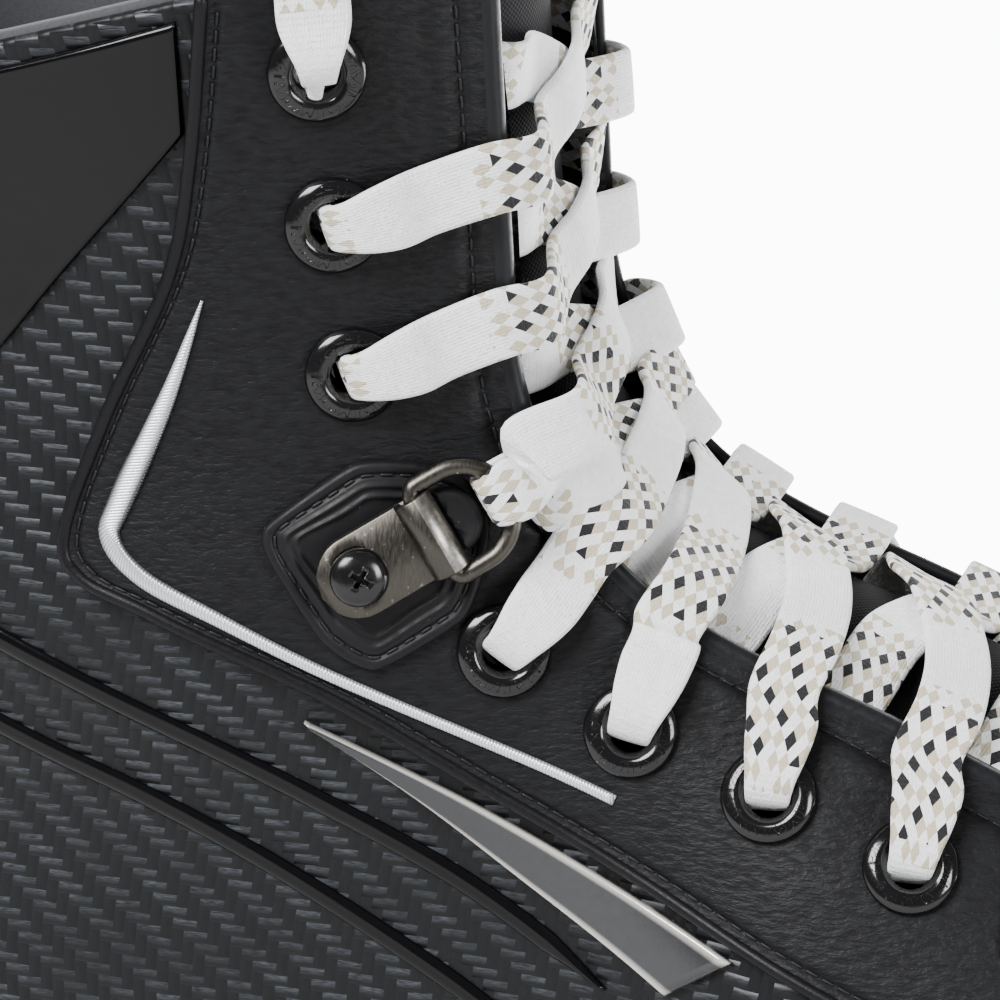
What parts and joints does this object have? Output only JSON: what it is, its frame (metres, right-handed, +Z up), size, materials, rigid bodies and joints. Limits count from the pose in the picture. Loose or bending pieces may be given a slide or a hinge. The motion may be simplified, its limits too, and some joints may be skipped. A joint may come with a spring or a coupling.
{
  "type": "ice skate",
  "caption": "Laced ice hockey skate boot with a carbon shell, leather eyelet facings, swinging D-rings, a blade holder and a steel runner.",
  "frame": {"origin": "middle of the skate's box at the ice, on the runner's flat running edge", "axes": "+X to the toe, +Y to the medial side of a right foot, +Z up"},
  "size_m": [0.2921, 0.1022, 0.2755],
  "materials": {
    "carbon": "satin twill-weave carbon composite under a thin clear coat",
    "lining": "brushed microfibre lining, charcoal",
    "footbed_foam": "moulded foam footbed with a knit cover",
    "board": "stiff fibre board",
    "leather": "black finely wrinkled synthetic leather",
    "silver_trim": "silver-white ribbed moulded trim",
    "smoked_inlay": "smoked silver moulded inlay",
    "eyelet_enamel": "black enamelled brass, glossy",
    "rubber": "black moulded rubber, fine satin",
    "black_steel": "black coated steel, glossy",
    "dark_nickel": "dark nickel plate, brushed, worn bright on its edges",
    "steel": "ground stainless steel",
    "felt": "dark felt over foam",
    "toe_plastic": "black moulded plastic, satin",
    "sole_composite": "black composite outsole",
    "holder_plastic": "white moulded nylon",
    "cotton": "flat braided white cotton with dark and tan tracer threads",
    "aglet_plastic": "clear shrunk film over white lace",
    "thread": "black waxed sewing thread"
  },
  "bodies": {
    "boot": {"quarter_shell": "carbon", "boot_liner": "lining", "facing_lateral": "leather", "stripe_lateral": "silver_trim", "side_inlay_lateral": "smoked_inlay", "facing_medial": "leather", "stripe_medial": "silver_trim", "side_inlay_medial": "smoked_inlay", "eyelet_lateral_1": "eyelet_enamel", "eyelet_lateral_2": "eyelet_enamel", "eyelet_lateral_3": "eyelet_enamel", "eyelet_lateral_4": "eyelet_enamel", "eyelet_lateral_5": "eyelet_enamel", "eyelet_lateral_6": "eyelet_enamel", "eyelet_lateral_7": "eyelet_enamel", "eyelet_lateral_8": "eyelet_enamel", "eyelet_lateral_9": "eyelet_enamel", "eyelet_medial_1": "eyelet_enamel", "eyelet_medial_2": "eyelet_enamel", "eyelet_medial_3": "eyelet_enamel", "eyelet_medial_4": "eyelet_enamel", "eyelet_medial_5": "eyelet_enamel", "eyelet_medial_6": "eyelet_enamel", "eyelet_medial_7": "eyelet_enamel", "eyelet_medial_8": "eyelet_enamel", "eyelet_medial_9": "eyelet_enamel", "d_ring_pad_lateral": "rubber", "d_ring_clip_lateral": "dark_nickel", "d_ring_screw_lateral": "black_steel", "d_ring_nut_lateral": "steel", "d_ring_pad_medial": "rubber", "d_ring_clip_medial": "dark_nickel", "d_ring_screw_medial": "black_steel", "d_ring_nut_medial": "steel", "ankle_pad_lateral": "lining", "ankle_pad_medial": "lining", "tongue_lower": "felt", "tendon_guard_base": "leather", "toe_cap": "toe_plastic", "outsole": "sole_composite", "insole_board": "board", "footbed": "footbed_foam", "blade_holder": "holder_plastic", "runner": "steel", "runner_bolt_rear": "steel", "runner_nut_rear": "steel", "runner_bolt_front": "steel", "runner_nut_front": "steel", "lace": "cotton", "lace_tail_lateral": "cotton", "aglet_lateral": "aglet_plastic", "lace_tail_medial": "cotton", "aglet_medial": "aglet_plastic"},
    "ring_lateral": {"d_ring_lateral": "dark_nickel"},
    "ring_medial": {"d_ring_medial": "dark_nickel"},
    "tendon_guard": {"tendon_guard_top": "leather", "tendon_pad": "felt"},
    "tongue_flap": {"tongue_top": "felt"}
  },
  "joints": [
    {"name": "ring_lateral_swing", "type": "hinge", "parent": "boot", "child": "ring_lateral", "pos_m": [-0.02553, -0.0366, 0.16587], "axis": [0.5109, 0.0112, -0.8596], "range_deg": [0, 25], "deforming": ["lace"]},
    {"name": "ring_medial_swing", "type": "hinge", "parent": "boot", "child": "ring_medial", "pos_m": [-0.02553, 0.0366, 0.16587], "axis": [-0.5109, 0.0112, 0.8596], "range_deg": [0, 25], "deforming": ["lace"]},
    {"name": "tendon_guard_flex", "type": "hinge", "parent": "boot", "child": "tendon_guard", "pos_m": [-0.13179, 0, 0.212], "axis": [0, -1, 0], "range_deg": [0, 25], "stiffness_Nm_per_rad": 1.5},
    {"name": "tongue_flex", "type": "hinge", "parent": "boot", "child": "tongue_flap", "pos_m": [-0.022, 0, 0.2356], "axis": [0, 1, 0], "range_deg": [0, 30], "stiffness_Nm_per_rad": 0.8}
  ]
}
